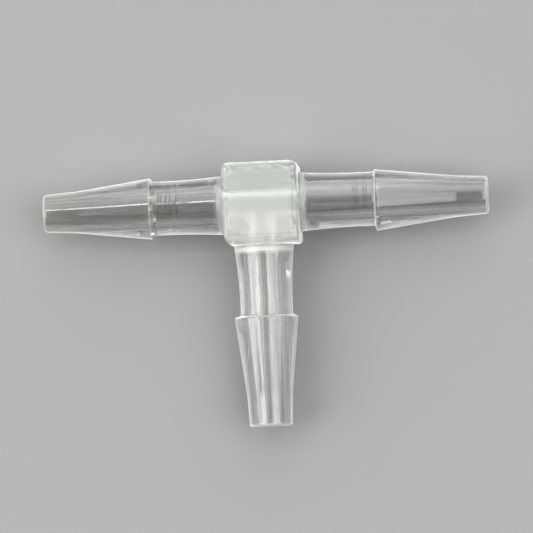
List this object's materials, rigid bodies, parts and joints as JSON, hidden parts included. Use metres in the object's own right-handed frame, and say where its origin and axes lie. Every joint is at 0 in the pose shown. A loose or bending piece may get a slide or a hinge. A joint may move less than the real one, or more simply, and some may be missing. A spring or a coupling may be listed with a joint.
{
  "type": "barbed tee connector",
  "caption": "Translucent plastic tee with a drafted block hub and tapered hose barbs on its straight run and branch, joined inside by crossing bores.",
  "frame": {"origin": "the point where the run's bore axis and the branch's bore axis cross, at the hub's centre", "axes": "+X along the run towards the right arm, -Y along the branch, +Z square to the plane of the tee, away from the hub face that it lies on"},
  "size_m": [0.0579, 0.0343, 0.0104],
  "materials": {
    "natural_polypropylene": "glossy, translucent"
  },
  "bodies": {
    "root": {"hub": "natural_polypropylene", "left_neck": "natural_polypropylene", "left_barb": "natural_polypropylene", "left_nose": "natural_polypropylene", "right_neck": "natural_polypropylene", "right_barb": "natural_polypropylene", "right_nose": "natural_polypropylene", "branch_neck": "natural_polypropylene", "branch_barb": "natural_polypropylene", "branch_nose": "natural_polypropylene"}
  },
  "joints": []
}
